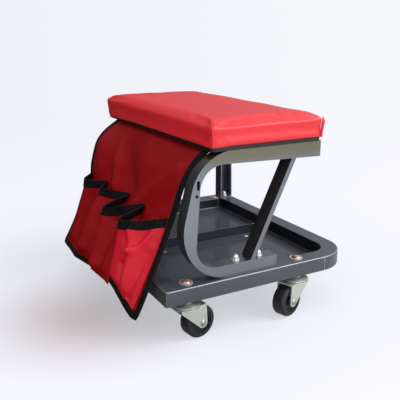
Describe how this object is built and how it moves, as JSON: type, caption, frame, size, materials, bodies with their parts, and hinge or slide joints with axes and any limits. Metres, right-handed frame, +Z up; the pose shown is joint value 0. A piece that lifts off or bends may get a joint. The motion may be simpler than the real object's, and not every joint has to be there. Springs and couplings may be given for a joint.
{
  "type": "creeper seat",
  "caption": "Low rolling work seat: a long padded seat on two opposed bent-channel frames over a pressed tool tray on swivel casters, with a hanging pocket bag on one side.",
  "frame": {"origin": "on the floor, under the middle of the whole part's box", "axes": "+X along the arms of the frames, away from the bag; +Y across the seat, along its long side; +Z up from the floor"},
  "size_m": [0.4222, 0.4616, 0.3562],
  "materials": {
    "tray_paint": "satin dark grey paint",
    "frame_paint": "gloss black-grey paint",
    "zinc": "bright zinc plate",
    "bolt_head": "yellow-red passivated zinc",
    "seat_vinyl": "soft semi-gloss vinyl",
    "board_black": "matt black cover",
    "bag_nylon": "woven nylon",
    "binding_black": "woven binding tape",
    "wheel_black": "moulded nylon",
    "tyre_black": "matt rubber"
  },
  "bodies": {
    "chassis": {"tray": "tray_paint", "tray_divider": "tray_paint", "divider_rivets": "zinc", "near_frame": "frame_paint", "far_frame": "frame_paint", "near_brace": "frame_paint", "far_brace": "frame_paint", "frame_bolts": "zinc", "frame_washers": "zinc", "frame_nuts": "zinc", "seat_board": "board_black", "seat_cushion": "seat_vinyl", "seat_screws": "zinc", "bag_panel": "bag_nylon", "bag_binding": "binding_black", "bag_screws": "zinc", "pocket_1": "bag_nylon", "pocket_2": "bag_nylon", "pocket_3": "bag_nylon", "pocket_4": "bag_nylon", "pocket_bindings": "binding_black", "caster_bolts": "bolt_head", "caster_washers": "zinc", "caster_spacers": "zinc", "king_nuts": "zinc", "near_left_race": "zinc", "near_right_race": "zinc", "far_left_race": "zinc", "far_right_race": "zinc"},
    "near_left_caster": {"near_left_fork": "zinc", "near_left_axle": "zinc"},
    "near_left_wheel": {"near_left_core": "wheel_black", "near_left_tyre": "tyre_black"},
    "near_right_caster": {"near_right_fork": "zinc", "near_right_axle": "zinc"},
    "near_right_wheel": {"near_right_core": "wheel_black", "near_right_tyre": "tyre_black"},
    "far_left_caster": {"far_left_fork": "zinc", "far_left_axle": "zinc"},
    "far_left_wheel": {"far_left_core": "wheel_black", "far_left_tyre": "tyre_black"},
    "far_right_caster": {"far_right_fork": "zinc", "far_right_axle": "zinc"},
    "far_right_wheel": {"far_right_core": "wheel_black", "far_right_tyre": "tyre_black"}
  },
  "joints": [
    {"name": "near_left_swivel", "type": "hinge", "parent": "chassis", "child": "near_left_caster", "pos_m": [-0.12394, -0.2055, 0.059], "axis": [0, 0, 1], "continuous": true},
    {"name": "near_left_roll", "type": "hinge", "parent": "near_left_caster", "child": "near_left_wheel", "pos_m": [-0.10129, -0.20151, 0.0285], "axis": [-0.1736, 0.9848, 0], "continuous": true},
    {"name": "near_right_swivel", "type": "hinge", "parent": "chassis", "child": "near_right_caster", "pos_m": [0.09606, -0.2055, 0.059], "axis": [0, 0, 1], "continuous": true},
    {"name": "near_right_roll", "type": "hinge", "parent": "near_right_caster", "child": "near_right_wheel", "pos_m": [0.07407, -0.21222, 0.0285], "axis": [0.2924, -0.9563, 0], "continuous": true},
    {"name": "far_left_swivel", "type": "hinge", "parent": "chassis", "child": "far_left_caster", "pos_m": [-0.05394, 0.2055, 0.059], "axis": [0, 0, 1], "continuous": true},
    {"name": "far_left_roll", "type": "hinge", "parent": "far_left_caster", "child": "far_left_wheel", "pos_m": [-0.03194, 0.21222, 0.0285], "axis": [-0.2924, 0.9563, 0], "continuous": true},
    {"name": "far_right_swivel", "type": "hinge", "parent": "chassis", "child": "far_right_caster", "pos_m": [0.16606, 0.2055, 0.059], "axis": [0, 0, 1], "continuous": true},
    {"name": "far_right_roll", "type": "hinge", "parent": "far_right_caster", "child": "far_right_wheel", "pos_m": [0.14341, 0.20151, 0.0285], "axis": [0.1736, -0.9848, 0], "continuous": true}
  ]
}
